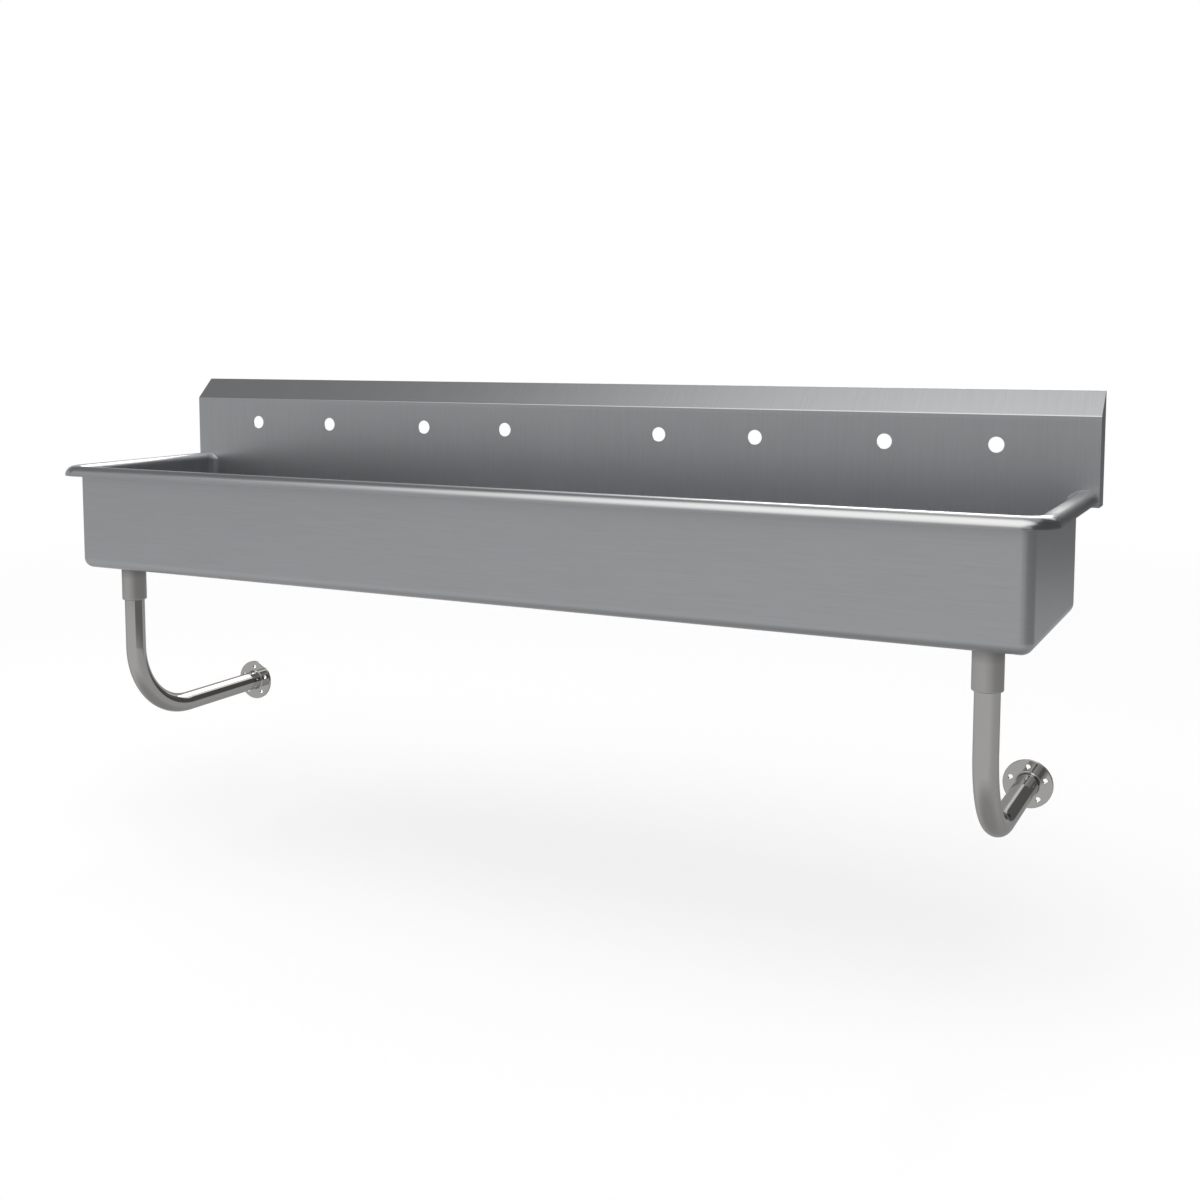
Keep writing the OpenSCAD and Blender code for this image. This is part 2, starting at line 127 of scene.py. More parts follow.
def brushedSteel(name, finish):
    made, tree, shader, place = newMaterial(name)
    uv = put(tree, "ShaderNodeUVMap", uv_map=brushMap).outputs[0]
    streak = grain(tree, uv, brushed["streak"], 3.0, 0.55)
    hair = grain(tree, uv, brushed["hair"])
    cloud = grain(tree, uv, brushed["cloud"])
    streakTone, hairTone, cloudTone = brushed["tone"]
    tone = worked(tree, "ADD", ranged(tree, streak, -streakTone, streakTone),
                  ranged(tree, hair, 1 - hairTone, 1 + hairTone))
    tone = worked(tree, "ADD", tone, ranged(tree, cloud, -cloudTone, cloudTone))
    both = worked(tree, "ADD", streak, hair)
    dullness = ranged(tree, both, *finish["roughness"], 0.6, 1.4)
    spot = put(tree, "ShaderNodeSeparateXYZ", {0: place}).outputs
    for axis, start, end, more in finish["zones"]:
        dullness = worked(tree, "ADD", dullness, ranged(tree, spot[axis], 0.0, more, start, end))
    feed(tree, shader, {
        "Base Color": tinted(tree, brushed["colour"], tone),
        "Metallic": 1.0,
        "Roughness": dullness,
        "Normal": bumped(tree, finish["bump"], brushed["groove"], both),
        "Anisotropic": finish["anisotropy"],
        "Anisotropic Rotation": 0.25,
        "Tangent": put(tree, "ShaderNodeTangent", direction_type="UV_MAP", uv_map=brushMap).outputs[0],
    })
    return made


polish = {
    "colour": (0.640, 0.631, 0.615),
    "tube": (0.045, 0.085),          # roughness range of the mirror finish
    "satin": (0.30, 0.38),           # of the machined sockets
    "topShade": (-0.374, -0.352, 0.62),  # painted shade: they darken towards their top, under the bowl: height from, to and tone there
    "glancing": (0.70, 0.70, 0.70),  # steel dims a little before it turns white at its edges
    "smudge": (9.0, 9.0, 9.0),
    "scratch": (55.0, 55.0, 900.0),
    "tone": (0.015, 0.01),           # how much smudges and scratches change the colour
    "bump": (0.03, 0.00005),         # strength and depth of the scratches
}


def polishedSteel(name, roughness, shadedTop=False):
    made, tree, shader, place = newMaterial(name)
    smudge = grain(tree, place, polish["smudge"], 3.0, 0.6)
    scratch = grain(tree, place, polish["scratch"])
    smudgeTone, scratchTone = polish["tone"]
    tone = worked(tree, "ADD", ranged(tree, smudge, -smudgeTone, smudgeTone),
                  ranged(tree, scratch, 1 - scratchTone, 1 + scratchTone))
    # painted shade: darker towards the top, where the bowl and pad above shade the socket
    if shadedTop:
        start, end, shadeTone = polish["topShade"]
        height = put(tree, "ShaderNodeSeparateXYZ", {0: place}).outputs["Z"]
        tone = worked(tree, "MULTIPLY", tone, ranged(tree, height, 1.0, shadeTone, start, end))
    feed(tree, shader, {
        "Base Color": tinted(tree, polish["colour"], tone),
        "Metallic": 1.0,
        "Roughness": ranged(tree, smudge, *roughness),
        "Normal": bumped(tree, *polish["bump"], scratch),
        "Specular Tint": (*polish["glancing"], 1.0),
    })
    return made


dark = {
    "blackRubber": {"colour": (0.022, 0.022, 0.023), "speck": 160.0, "detail": 4.0, "shade": (0.8, 1.5),
                    "roughness": (0.52, 0.72), "bump": (0.15, 0.0001), "metal": 0.0, "gloss": 0.4},
    "blackSteel": {"colour": (0.045, 0.044, 0.044), "speck": 700.0, "detail": 3.0, "shade": (0.75, 1.3),
                   "roughness": (0.36, 0.5), "bump": (0.0, 0.0001), "metal": 0.8, "gloss": 0.5},
}


def darkFinish(name):
    finish = dark[name]
    made, tree, shader, place = newMaterial(name)
    speck = grain(tree, place, [finish["speck"]] * 3, finish["detail"], 0.6)
    feed(tree, shader, {
        "Base Color": tinted(tree, finish["colour"], ranged(tree, speck, *finish["shade"])),
        "Metallic": finish["metal"],
        "Roughness": ranged(tree, speck, *finish["roughness"]),
        "Normal": bumped(tree, *finish["bump"], speck),
        "Specular IOR Level": finish["gloss"],
    })
    return made


sheetSteel = brushedSteel("sheetSteel", brushed["sheet"])
splashSteel = brushedSteel("splashSteel", brushed["splash"])
rimSteel = brushedSteel("rimSteel", brushed["rim"])
tubeSteel = polishedSteel("tubeSteel", polish["tube"])
socketSteel = polishedSteel("socketSteel", polish["satin"])
# the sockets' steel, with painted shade towards their top
shadedSocketSteel = polishedSteel("shadedSocketSteel", polish["satin"], True)
rubber, oxideSteel = darkFinish("blackRubber"), darkFinish("blackSteel")
print("materials made")


# sheets are made point by point, with their true normals

def roundedOutline(corners, closed=True, steps=10):
    # corners are (across, height, radius), anticlockwise round the metal
    # gives points as (across, height, normal, distance along)
    spots = [Vector(c[:2]) for c in corners]
    count, along, last, outline = len(corners), 0.0, None, []
    for i in range(count):
        here, radius = spots[i], corners[i][2]
        coming = (here - spots[i - 1]).normalized() if closed or i > 0 else (spots[1] - here).normalized()
        going = (spots[(i + 1) % count] - here).normalized() if closed or i < count - 1 else coming
        turn = math.atan2(coming.cross(going), coming.dot(going))
        outward = Vector((coming.y, -coming.x))
        found = []
        if radius > 0 and abs(turn) > 1e-4:
            side = math.copysign(1.0, turn)
            start = here - coming * radius * math.tan(abs(turn) / 2)
            centre = start - outward * radius * side
            pieces = max(2, round(steps * abs(turn) / (math.pi / 2)))
            for k in range(pieces + 1):
                facing = Matrix.Rotation(turn * k / pieces, 2) @ outward
                found.append((centre + facing * radius * side, facing))
        else:
            found = [(here, outward), (here, Vector((going.y, -going.x)))]
        for spot, facing in found:
            along += (spot - last).length if last else 0.0
            last = spot
            outline.append((spot.x, spot.y, facing, along))
    if closed:
        spot, facing = outline[0][:2], outline[0][2]
        along += (Vector(spot) - last).length
        outline.append((*spot, Vector((spots[0] - spots[-1]).normalized().yx) * Vector((1, -1)), along))
    return outline


def newSheet():
    return {"points": {}, "faces": [], "normals": [], "uvs": []}


def addFace(sheet, corners):
    # corners are (point, normal, uv); the face is turned to look the way its normals do
    kept = []
    for point, normal, uv in corners:
        key = tuple(round(c, 6) for c in point)
        if key not in [k[0] for k in kept]:
            kept.append((key, normal, uv))
    if len(kept) < 3:
        return
    first = Vector(kept[0][0])
    facing = sum(((Vector(kept[i][0]) - first).cross(Vector(kept[i + 1][0]) - first)
                  for i in range(1, len(kept) - 1)), Vector())
    if facing.length < 1e-12:
        return
    if facing.dot(sum((k[1] for k in kept), Vector())) < 0:
        kept.reverse()
    points = sheet["points"]
    sheet["faces"].append([points.setdefault(k[0], len(points)) for k in kept])
    sheet["normals"] += [k[1].normalized() for k in kept]
    sheet["uvs"] += [k[2] for k in kept]


def lengthwise(run, along):
    return run, along


def upright(run, along):
    return along, run


def sweep(sheet, outline, stations, brushing=lengthwise):
    # stations are (place, outward, up, run); the outline's across runs outward and its height runs up
    rows = []
    for place, outward, rise, run in stations:
        rows.append([(place + outward * a + rise * b, outward * n.x + rise * n.y, brushing(run, along))
                     for a, b, n, along in outline])
    for near, far in zip(rows, rows[1:]):
        for j in range(len(outline) - 1):
            addFace(sheet, (near[j], near[j + 1], far[j + 1], far[j]))


def fillFlat(sheet, loops, normal, uvOf):
    # a flat face inside the first loop, open inside the others
    spots = [spot for loop in loops for spot in loop]
    for triangle in tessellate_polygon(loops):
        addFace(sheet, [(spots[i], normal, uvOf(spots[i])) for i in triangle])


def capEnd(sheet, outline, station, facing):
    place, outward, rise = station[:3]
    loop = []
    for a, b, n, along in outline:
        spot = place + outward * a + rise * b
        if not loop or (spot - loop[-1]).length > 1e-7:
            loop.append(spot)
    if (loop[0] - loop[-1]).length < 1e-7:
        loop.pop()
    fillFlat(sheet, [loop], facing, lambda p: (p.z, p.y))


def arcStations(centre, first, last, radius, steps, run=0.0):
    # stations on a round corner seen from above, angles in degrees from +X
    made = []
    for k in range(steps + 1):
        angle = math.radians(first + (last - first) * k / steps)
        made.append((centre, Vector((math.cos(angle), math.sin(angle), 0)), up,
                     run + abs(math.radians(last - first)) * radius * k / steps))
    return made


def turnStations(centre, axis, side, radius, steps):
    # stations right round an axis
    other = axis.cross(side)
    made = []
    for k in range(steps + 1):
        angle = math.tau * k / steps
        made.append((centre, side * math.cos(angle) + other * math.sin(angle), axis, angle * radius))
    return made


def ringLoop(centre, axis, side, radius, steps):
    return [place + outward * radius for place, outward, rise, run
            in turnStations(centre, axis, side, radius, steps)[:-1]]


def boredHole(sheet, centre, axis, side, radius, depth, edge, steps):
    # the wall of a hole, from the face at the centre down into the metal, with its edges broken
    wall = []  # points as (across, height) with the normal's (across, height)
    for a, b, nx, ny in ((radius + edge, 0, -0.7, 0.7), (radius, -edge, -1, 0.15),
                         (radius, edge - depth, -1, -0.15), (radius + edge, -depth, -0.7, -0.7)):
        wall.append((a, b, Vector((nx, ny)), -b))
    sweep(sheet, wall, turnStations(centre, axis, side, radius, steps))


def boredPlate(sheet, nearLoops, farLoops, spots, axis, depth, drill, uvOf):
    # two flat faces and the holes between them; the near face is at the spots and looks along the axis
    radius, edge, steps = drill["hole"], drill["holeEdge"], drill["holeSteps"]
    for loops, facing, deep in ((nearLoops, axis, 0), (farLoops, -axis, depth)):
        rings = [ringLoop(spot - axis * deep, axis, right, radius + edge, steps) for spot in spots]
        fillFlat(sheet, loops + rings, facing, uvOf)
    for spot in spots:
        boredHole(sheet, spot, axis, right, radius, depth, edge, steps)


def plate(sheet, plan, centre, low, high, edge):
    # a flat plate with its edges broken; the plan is an outline seen from above
    stations = [(centre + Vector((a, b, 0)), Vector((n.x, n.y, 0)), up, along) for a, b, n, along in plan]
    side = [(-edge, low, Vector((0.3, -1)), 0), (0, low + edge, Vector((1, -0.3)), edge),
            (0, high - edge, Vector((1, 0.3)), high - low),
            (-edge, high, Vector((0.3, 1)), high - low + edge)]
    sweep(sheet, side, stations)
    for z, facing in ((low, -up), (high, up)):
        loop = [place - outward * edge + up * z for place, outward, rise, run in stations[:-1]]
        fillFlat(sheet, [loop], facing, lambda p: (p.x, p.y))
    return stations


def turnedSheet(sheet, corners, centre, steps, closed=True):
    # a shape turned on a lathe, its corners as (radius, height, rounding)
    widest = max(c[0] for c in corners)
    sweep(sheet, roundedOutline(corners, closed, steps=8), turnStations(centre, up, right, widest, steps))


def addObject(name, data):
    made = bpy.data.objects.new(name, data)
    bpy.context.scene.collection.objects.link(made)
    return made


def finishPiece(name, mesh, body, material, *stoodFor):
    mesh.materials.clear()
    mesh.materials.append(material)
    piece = addObject(name, mesh)
    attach(piece, body)
    if stoodFor:
        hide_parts(*stoodFor)


def finishSheet(name, sheet, body, material, node):
    mesh = bpy.data.meshes.new(name)
    mesh.from_pydata(list(sheet["points"]), [], sheet["faces"])
    mesh.polygons.foreach_set("use_smooth", [True] * len(mesh.polygons))
    layer = mesh.uv_layers.new(name=brushMap)
    layer.data.foreach_set("uv", [c for uv in sheet["uvs"] for c in uv])
    mesh.normals_split_custom_set(sheet["normals"])
    mesh.validate()
    finishPiece(name, mesh, body, material, node)


# geometry nodes for what follows a path

def newTree(name, **inputs):
    tree = bpy.data.node_groups.new(name, "GeometryNodeTree")
    tree.interface.new_socket("Geometry", in_out="INPUT", socket_type="NodeSocketGeometry")
    for label, kind in inputs.items():
        tree.interface.new_socket(label, in_out="INPUT", socket_type="NodeSocket" + kind)
    tree.interface.new_socket("Geometry", in_out="OUTPUT", socket_type="NodeSocketGeometry")
    return tree, tree.nodes.new("NodeGroupInput").outputs


def endTree(tree, geometry, material):
    smooth = put(tree, "GeometryNodeSetShadeSmooth", {"Geometry": geometry}).outputs[0]
    real = put(tree, "GeometryNodeRealizeInstances", {"Geometry": smooth}).outputs[0]
    made = put(tree, "GeometryNodeSetMaterial", {"Geometry": real, "Material": material}).outputs[0]
    put(tree, "NodeGroupOutput", {0: made})


def runTree(name, tree, path, closed, **values):
    # gives the tree a path of points, sets its named inputs and turns the result into a plain mesh
    mesh = bpy.data.meshes.new(name)
    edges = [(i, i + 1) for i in range(len(path) - 1)] + ([(len(path) - 1, 0)] if closed else [])
    mesh.from_pydata(path, edges, [])
    maker = addObject(name, mesh)
    modifier = maker.modifiers.new("nodes", "NODES")
    modifier.node_group = tree
    for item in tree.interface.items_tree:
        if item.in_out == "INPUT" and item.name in values:
            modifier[item.identifier] = values[item.name]
    graph = bpy.context.evaluated_depsgraph_get()
    result = bpy.data.meshes.new_from_object(maker.evaluated_get(graph), depsgraph=graph)
    bpy.data.objects.remove(maker)
    return result


def tubeTree():
    tree, given = newTree("bentTube", radius="Float", bend="Float", bendSteps="Int", round="Int")
    line = put(tree, "GeometryNodeMeshToCurve", {"Mesh": given["Geometry"]}).outputs[0]
    bent = put(tree, "GeometryNodeFilletCurve", {
        "Curve": line, "Radius": given["bend"], "Count": given["bendSteps"]}, mode="POLY").outputs[0]
    ring = put(tree, "GeometryNodeCurvePrimitiveCircle", {
        "Radius": given["radius"], "Resolution": given["round"]}).outputs[0]
    skin = put(tree, "GeometryNodeCurveToMesh", {
        "Curve": bent, "Profile Curve": ring, "Fill Caps": True}).outputs[0]
    endTree(tree, skin, tubeSteel)
    return tree


def beadTree():
    # a weld bead: overlapping flattened drops along the path
    tree, given = newTree("weldBead", width="Float", pitch="Float", height="Float")
    line = put(tree, "GeometryNodeMeshToCurve", {"Mesh": given["Geometry"]}).outputs[0]
    spots = put(tree, "GeometryNodeCurveToPoints", {"Curve": line, "Length": given["pitch"]}, mode="LENGTH")
    drop = put(tree, "GeometryNodeMeshUVSphere", {"Segments": 12, "Rings": 8, "Radius": 1.0}).outputs[0]
    size = put(tree, "ShaderNodeCombineXYZ", {
        "X": given["width"], "Y": given["width"], "Z": given["height"]}).outputs[0]
    beads = put(tree, "GeometryNodeInstanceOnPoints", {
        "Points": spots.outputs[0], "Instance": drop, "Scale": size}).outputs[0]
    endTree(tree, beads, socketSteel)
    return tree


def threadTree():
    # a screw thread: a small ridge on a spiral, moved to the given place
    tree, given = newTree("screwThread", radius="Float", turns="Float", length="Float", ridge="Float",
                          place="Vector")
    spiral = put(tree, "GeometryNodeCurveSpiral", {
        "Resolution": 40, "Rotations": given["turns"], "Height": given["length"],
        "Start Radius": given["radius"], "End Radius": given["radius"]}).outputs[0]
    steady = put(tree, "GeometryNodeSetCurveNormal", {"Curve": spiral}, mode="Z_UP").outputs[0]
    ring = put(tree, "GeometryNodeCurvePrimitiveCircle", {
        "Radius": given["ridge"], "Resolution": 4}).outputs[0]
    skin = put(tree, "GeometryNodeCurveToMesh", {
        "Curve": steady, "Profile Curve": ring, "Fill Caps": True}).outputs[0]
    lifted = put(tree, "GeometryNodeTransform", {"Geometry": skin, "Translation": given["place"]}).outputs[0]
    endTree(tree, lifted, socketSteel)
    return tree


# bowl

bowl = {"cove": 0.019, "steps": 14, "edge": 0.0003, "hole": 0.0262, "holeEdge": 0.0003, "holeSteps": 48}
lowBowl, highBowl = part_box("bowl_trough")
cornerX, bowlX = highBowl.x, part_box("bowl_end_right")[1].x
bowlFront, bowlBack, under, wallTop = lowBowl.y, highBowl.y, lowBowl.z, highBowl.z
coveOut = bowlX - cornerX
sheetThick = round(coveOut - bowl["cove"], 6)
coveIn = coveOut - sheetThick
floorZ = under + sheetThick
frontCorner, backCorner = bowlFront + coveOut, bowlBack - coveOut
drainY = (bowlFront + bowlBack) / 2


def wallOutline(closed, edge):
    return roundedOutline([(0, under, 0), (coveOut, under, coveOut), (coveOut, wallTop, edge),
                           (coveIn, wallTop, edge), (coveIn, floorZ, coveIn), (0, floorZ, 0)],
                          closed=closed, steps=bowl["steps"])


def wallBrushing(outline):
    # lengthwise outside and upright inside, where its lines run on into the splash
    top = next(along for across, height, normal, along in outline
               if across < coveIn + 1e-5 and height > wallTop - 0.001)

    def brushing(run, along):
        return (run, along) if along < top - 1e-5 else (wallTop + top - along, run)
    return brushing


def makeTrough():
    sheet = newSheet()
    for y, outward, edge in ((frontCorner, front, bowl["edge"]), (backCorner, -front, 0)):
        wall = wallOutline(False, edge)
        ends = [(Vector((x, y, 0)), outward, up, x) for x in (-cornerX, cornerX)]
        sweep(sheet, wall, ends, wallBrushing(wall))
    top, low = ([Vector((x, y, z)) for x, y in ((-cornerX, frontCorner), (cornerX, frontCorner),
                                                (cornerX, backCorner), (-cornerX, backCorner))]
                for z in (floorZ, under))
    boredPlate(sheet, [top], [low], [Vector((0, drainY, floorZ))], up, sheetThick, bowl,
               lambda p: (p.x, p.y))
    finishSheet("bowlTrough", sheet, "sink", sheetSteel, "bowl_trough")


def makeBowlEnd(side, name, node):
    sheet = newSheet()
    steps, start = bowl["steps"], math.pi / 2 * coveOut + backCorner - frontCorner
    facing = 90 - 90 * side  # the way that the end looks, in degrees from +X
    stations = arcStations(Vector((side * cornerX, backCorner, 0)), 90, facing, coveOut, steps)
    stations += arcStations(Vector((side * cornerX, frontCorner, 0)), facing, facing - 90 * side, coveOut,
                            steps, start)
    wall = wallOutline(True, bowl["edge"])
    sweep(sheet, wall, stations, wallBrushing(wall))
    finishSheet(name, sheet, "sink", sheetSteel, node)


makeTrough()
makeBowlEnd(-1, "bowlEndLeft", "bowl_end_left")
makeBowlEnd(1, "bowlEndRight", "bowl_end_right")
print("bowl made")


# rolled rim

rim = {"edge": 0.0005, "steps": 14, "cornerSteps": 26}
lowRim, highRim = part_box("rolled_rim")
rimZ, rimFront, rimBack = highRim.z, lowRim.y, highRim.y
rollRadius = rimZ - lowRim.z
foldRadius = rimZ - sheetThick - wallTop
rimReach = frontCorner - rimFront  # from the corner's centre to the roll's edge
foldCentre = coveOut + foldRadius


def rimOutline(withFold):
    # the roll alone is for the short stretches behind the bowl's corners
    thick, inside = sheetThick, rollRadius - sheetThick
    tip, low = rimReach, rimZ - rollRadius
    roll = [(tip - thick, rimZ - thick, inside), (tip - thick, low, rim["edge"]), (tip, low, rim["edge"]),
            (tip, rimZ, rollRadius)]
    if withFold:
        corners = [(coveOut, wallTop, 0), (coveOut, rimZ - thick, foldRadius), *roll,
                   (coveIn, rimZ, foldRadius + thick), (coveIn, wallTop, 0)]
    else:
        corners = [(foldCentre, rimZ - thick, 0), *roll, (foldCentre, rimZ, 0)]
    return roundedOutline(corners, closed=withFold, steps=rim["steps"])


def addCornerFold(sheet, side, run, radius, turn, top):
    # the fold runs on round the bowl's back corner until it meets the splash
    steps, gap = rim["steps"], rimBack - backCorner
    rows = []
    for i in range(steps + 1):
        fold = math.pi / 2 * i / steps
        reach = foldCentre - radius * math.cos(fold)
        widest = math.asin(min(1.0, gap / reach))
        row = []
        for k in range(steps + 1):
            angle = widest * k / steps
            out = Vector((side * math.cos(angle), math.sin(angle), 0))
            spot = Vector((side * cornerX, backCorner, wallTop + radius * math.sin(fold))) + out * reach
            facing = (up * math.sin(fold) - out * math.cos(fold)) * turn
            row.append((spot, facing, (run + side * reach * angle, fold * radius)))
        rows.append(row)
    for near, far in zip(rows, rows[1:]):
        for k in range(steps):
            addFace(sheet, (near[k], near[k + 1], far[k + 1], far[k]))
    flat = [corner[0] for corner in rows[-1]] + [Vector((side * (cornerX + foldCentre), rimBack, top))]
    fillFlat(sheet, [flat], up * turn, lambda p: (p.y, p.x))


def makeRim():
    sheet = newSheet()
    steps, radius = rim["cornerSteps"], rimReach
    quarter, depth = math.pi / 2 * radius, backCorner - frontCorner
    total = 2 * (depth + quarter + cornerX)
    stations = [(Vector((-cornerX, backCorner, 0)), -right, up, 0.0)]
    stations += arcStations(Vector((-cornerX, frontCorner, 0)), 180, 270, radius, steps, depth)
    stations += arcStations(Vector((cornerX, frontCorner, 0)), -90, 0, radius, steps,
                            depth + quarter + 2 * cornerX)
    stations.append((Vector((cornerX, backCorner, 0)), right, up, total))
    sweep(sheet, rimOutline(True), stations)
    gap = rimBack - backCorner
    for side, run in ((-1, 0.0), (1, total)):
        sweep(sheet, rimOutline(False), [(Vector((side * cornerX, y, 0)), right * side, up, reached)
                                         for y, reached in ((backCorner, run), (rimBack, run + side * gap))])
        addCornerFold(sheet, side, run, foldRadius + sheetThick, 1, rimZ)
        addCornerFold(sheet, side, run, foldRadius, -1, rimZ - sheetThick)
    finishSheet("rolledRim", sheet, "sink", rimSteel, "rolled_rim")


makeRim()
print("rim made")


# splash

splash = {"fold": 0.001, "lip": 0.025, "hole": 0.0143, "holeEdge": 0.0003, "holeSteps": 48,
          "tapDrop": 0.0982, "tapSpread": 0.2032, "taps": (0.2794, 0.7366)}
lowSplash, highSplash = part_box("splash_panel")
splashX, faceY, splashLow, splashTop = highSplash.x, lowSplash.y, lowSplash.z, highSplash.z
foldOut = splash["fold"] + sheetThick
lipLow = splashTop - splash["lip"]


def makeSplash():
    sheet = newSheet()
    thick, depth, fold = sheetThick, -faceY, splash["fold"]
    slope = splashTop + foldOut * math.sqrt(2)  # across + height on the slope's outer side
    slopeIn = slope - thick * math.sqrt(2)
    bend = math.tan(math.pi / 8)
    faceTop = slope - depth - foldOut * bend
    backTop = slopeIn - (depth - thick) - fold * bend
    skin = roundedOutline([(depth, faceTop, 0), (depth, slope - depth, foldOut), (0, slope, foldOut),
                           (0, lipLow, 0), (thick, lipLow, 0), (thick, slopeIn - thick, fold),
                           (depth - thick, slopeIn - depth + thick, fold), (depth - thick, backTop, 0)],
                          closed=False, steps=10)
    sweep(sheet, skin, [(Vector((x, 0, 0)), front, up, x) for x in (-splashX, splashX)], upright)

    # the face and its back, notched over the bowl and bored for the taps
    notch = cornerX + math.sqrt(coveOut ** 2 - (rimBack - backCorner) ** 2)
    foot = [(-splashX, splashLow), (-notch, splashLow), (-notch, wallTop),
            (notch, wallTop), (notch, splashLow), (splashX, splashLow)]
    near, far = ([Vector((x, y, z)) for x, z in foot + [(splashX, top), (-splashX, top)]]
                 for y, top in ((faceY, faceTop), (faceY + thick, backTop)))
    spots = [Vector((side * tap + half * splash["tapSpread"] / 2, faceY, splashTop - splash["tapDrop"]))
             for side in (-1, 1) for tap in splash["taps"] for half in (-1, 1)]
    boredPlate(sheet, [near], [far], spots, front, thick, splash, lambda p: (p.z, p.x))
    for (xa, za), (xb, zb), facing in zip(foot, foot[1:], (-up, right, -up, -right, -up)):
        addFace(sheet, [(Vector(p), facing, p[:2]) for p in (
            (xa, faceY, za), (xb, faceY, zb), (xb, faceY + thick, zb), (xa, faceY + thick, za))])
    profile = skin + [(depth - thick, splashLow, Vector((0, 0)), 0), (depth, splashLow, Vector((0, 0)), 0)]
    for side in (-1, 1):
        capEnd(sheet, profile, (Vector((side * splashX, 0, 0)), front, up), right * side)
    finishSheet("splashPanel", sheet, "sink", splashSteel, "splash_panel")


def makeSplashEnd(side, name, node):
    sheet = newSheet()
    thick, depth, fold = sheetThick, -faceY, splash["fold"]
    slopeIn = splashTop + (foldOut - thick) * math.sqrt(2)
    outline = roundedOutline([(0, splashLow, 0), (depth - thick, splashLow, 0),
                              (depth - thick, slopeIn - depth + thick, fold), (thick, slopeIn - thick, fold),
                              (thick, lipLow, 0), (0, lipLow, 0)])
    stations = [(Vector((side * x, 0, 0)), front, up, x) for x in (splashX - thick, splashX)]
    sweep(sheet, outline, stations)
    for station, facing in zip(stations, (-side, side)):
        capEnd(sheet, outline, station, right * facing)
    finishSheet(name, sheet, "sink", sheetSteel, node)


makeSplash()
makeSplashEnd(-1, "splashEndLeft", "splash_end_left")
makeSplashEnd(1, "splashEndRight", "splash_end_right")
print("splash made")


# legs

leg = {"bend": 0.155, "bendSteps": 40, "round": 72, "socketEdge": 0.0025, "boreEdge": 0.0006,
       "socketSteps": 96, "padCorner": 0.008, "padEdge": 0.0006,
       "slack": 0.0001,                   # between the tube and its socket
       "bead": (0.0022, 0.0028, 0.0016),  # a weld bead's width, pitch and height
       "sunk": 0.4}                       # share of a bead's height that its middle lies past the seam
flange = {"thick": 0.005, "edge": 0.001, "steps": 96, "weld": 0.004, "weldSteps": 12,
          "holes": 5, "circle": 0.0325, "hole": 0.0044, "holeEdge": 0.0003, "holeSteps": 32}
bentTube, weldBead = tubeTree(), beadTree()


def makeSocket(word, ending, centre, tubeRadius):
    low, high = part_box("leg_socket_" + ending)
    sheet = newSheet()
    bore, outer = tubeRadius + leg["slack"], (high.x - low.x) / 2
    outline = roundedOutline([(bore, low.z, leg["boreEdge"]), (outer, low.z, leg["socketEdge"]),
                              (outer, high.z, 0), (bore, high.z, 0)], steps=12)
    sweep(sheet, outline, turnStations(centre, up, right, outer, leg["socketSteps"]))
    finishSheet("legSocket" + word, sheet, "sink", shadedSocketSteel, "leg_socket_" + ending)
    return outer


def makePad(word, ending, centre, socketRadius):
    low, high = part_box("leg_pad_" + ending)
    half, corner = (high.x - low.x) / 2, leg["padCorner"]
    plan = roundedOutline([(-half, -half, corner), (half, -half, corner), (half, half, corner),
                           (-half, half, corner)], steps=8)
    sheet = newSheet()
    stations = plate(sheet, plan, centre, low.z, high.z, leg["padEdge"])
    finishSheet("legPad" + word, sheet, "sink", sheetSteel, "leg_pad_" + ending)

    # weld beads round the pad and round the socket's top
    width, pitch, height = leg["bead"]
    drop = height * leg["sunk"]
    padPath = [place + up * (high.z - drop) for place, outward, rise, run in stations[:-1]]
    socketPath = ringLoop(centre + up * (low.z - drop), up, right, socketRadius, leg["socketSteps"])
    for name, path in (("padBead" + word, padPath), ("socketBead" + word, socketPath)):
        mesh = runTree(name, weldBead, path, True, width=width, pitch=pitch, height=height)
        finishPiece(name, mesh, "sink", socketSteel)


def makeFlange(word, ending, centre, tubeRadius):
    # a round plate with a weld fillet round the tube, its axis out of the wall
    low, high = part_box("wall_flange_" + ending)
    sheet = newSheet()
    big, thick, weld, steps = (high.x - low.x) / 2, flange["thick"], flange["weld"], flange["steps"]
    foot = tubeRadius + weld
    edgeLine = roundedOutline([(big, 0, 0), (big, thick, flange["edge"]), (foot, thick, 0)], closed=False)
    edgeLine = [spot for spot in edgeLine if spot[0] > big - flange["edge"] - 1e-6]
    sweep(sheet, edgeLine, turnStations(centre, front, right, big, steps))
    fillet = []
    for k in range(flange["weldSteps"] + 1):
        turned = math.pi / 2 * k / flange["weldSteps"]
        facing = Vector((math.sin(turned), math.cos(turned)))
        fillet.append((foot - weld * facing.x, thick + weld - weld * facing.y, facing, weld * turned))
    sweep(sheet, fillet, turnStations(centre, front, right, foot, steps))
    face, spots = centre + front * thick, []
    for k in range(flange["holes"]):
        angle = math.radians(90 + 360 * k / flange["holes"])
        spots.append(face + Vector((math.cos(angle), 0, math.sin(angle))) * flange["circle"])
    near = [ringLoop(face, front, right, radius, steps) for radius in (big - flange["edge"], foot)]
    far = [ringLoop(centre, front, right, big, steps)]
    boredPlate(sheet, near, far, spots, front, thick, flange, lambda p: (p.x, p.z))
    finishSheet("wallFlange" + word, sheet, ending + "_leg", tubeSteel, "wall_flange_" + ending)


